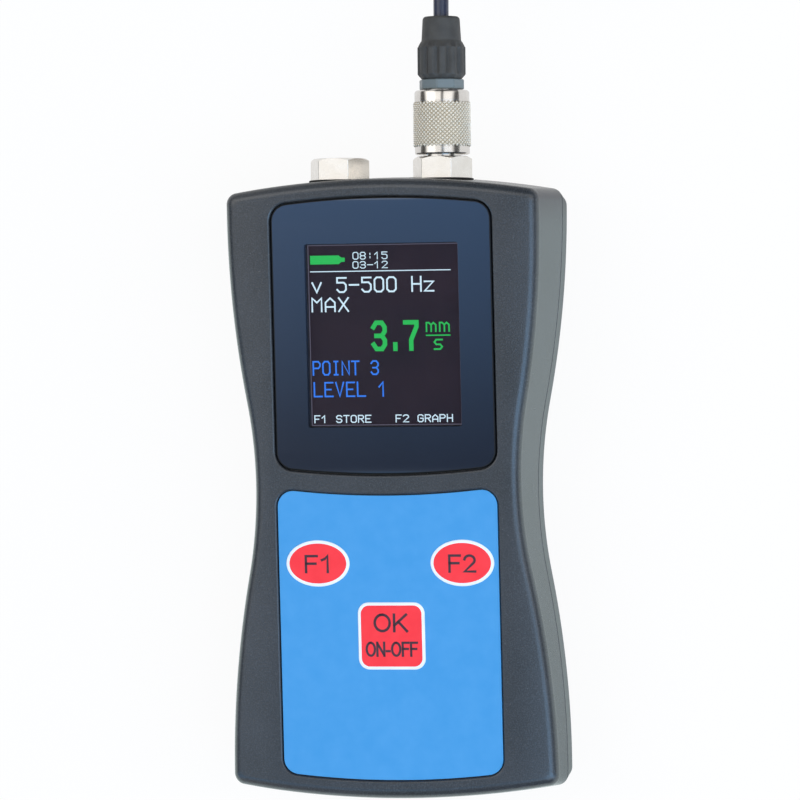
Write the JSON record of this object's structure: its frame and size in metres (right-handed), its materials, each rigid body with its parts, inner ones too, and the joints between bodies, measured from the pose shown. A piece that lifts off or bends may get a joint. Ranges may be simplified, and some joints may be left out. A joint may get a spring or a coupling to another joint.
{
  "type": "handheld vibration meter",
  "caption": "Handheld vibration meter: waisted two-shell housing, lens and film keypad, hexagonal sockets, plugged-in sensor lead with coupling ring, coiled lead and magnetic sensor.",
  "frame": {"origin": "on the flat back, midway along and across the housing", "axes": "+X across the housing, +Y along it towards the sockets, +Z out of the front face"},
  "size_m": [0.0864, 0.2009, 0.0261],
  "materials": {
    "black_adhesive": "matt black foam tape",
    "black_part": "moulded black",
    "board": "green solder mask",
    "can_aluminium": "drawn can",
    "cell_jacket": "printed sleeve",
    "collar_plastic": "satin blue-grey",
    "flex_film": "amber flat cable",
    "gold_contact": "gold plate",
    "ivory_part": "ivory moulding",
    "keypad_base": "satin polyester",
    "keypad_film": "satin blue printed film",
    "lead_jacket": "glossy dark jacket",
    "lens_glass": "polished dark lens",
    "magnet_steel": "ground steel",
    "nickel": "bright nickel plate",
    "relief_rubber": "matt black",
    "screen_glass": "dark display glass",
    "seal_rubber": "matt",
    "sensor_steel": "turned stainless steel",
    "shell_plastic": "fine grained dark grey moulding",
    "steel": "plated steel",
    "tie_fabric": "woven hook and loop strip",
    "wire_jacket": "thin wire jacket"
  },
  "bodies": {
    "meter": {"front_shell": "shell_plastic", "rear_shell": "shell_plastic", "display_lens": "lens_glass", "lens_adhesive": "black_adhesive", "display_gasket": "black_adhesive", "display_module": "screen_glass", "display_flex": "flex_film", "keypad_film": "keypad_film", "keypad_circuit": "keypad_base", "key_domes": "steel", "main_board": "board", "processor_chip": "black_part", "amplifier_chips": "black_part", "board_capacitors": "can_aluminium", "board_choke": "black_part", "flex_connectors": "ivory_part", "board_screws": "steel", "case_screws": "steel", "battery_1": "cell_jacket", "battery_2": "cell_jacket", "battery_3": "cell_jacket", "contact_plates": "steel", "contact_springs": "steel", "data_socket": "nickel", "data_socket_insert": "black_part", "data_socket_contacts": "gold_contact", "sensor_socket": "nickel", "sensor_socket_insert": "black_part", "sensor_socket_contacts": "gold_contact", "socket_washers": "seal_rubber", "socket_nuts": "nickel", "socket_wires": "wire_jacket", "plug_sleeve": "nickel", "plug_insert": "black_part", "plug_pins": "gold_contact", "plug_collar": "collar_plastic", "strain_relief": "relief_rubber", "sensor_lead": "lead_jacket", "lead_coil": "lead_jacket", "lead_tie": "tie_fabric", "sensor_gland": "relief_rubber", "sensor_body": "sensor_steel", "sensor_magnet": "magnet_steel"},
    "battery_cover": {"battery_cover": "shell_plastic"},
    "coupling_ring": {"coupling_ring": "nickel"}
  },
  "joints": [
    {"name": "cover_slide", "type": "slide", "parent": "meter", "child": "battery_cover", "axis": [0, -1, 0], "range_m": [0, 0.056]},
    {"name": "ring_turn", "type": "hinge", "parent": "meter", "child": "coupling_ring", "pos_m": [0.01, 0.069, 0.0158], "axis": [0, 1, 0], "continuous": true}
  ]
}
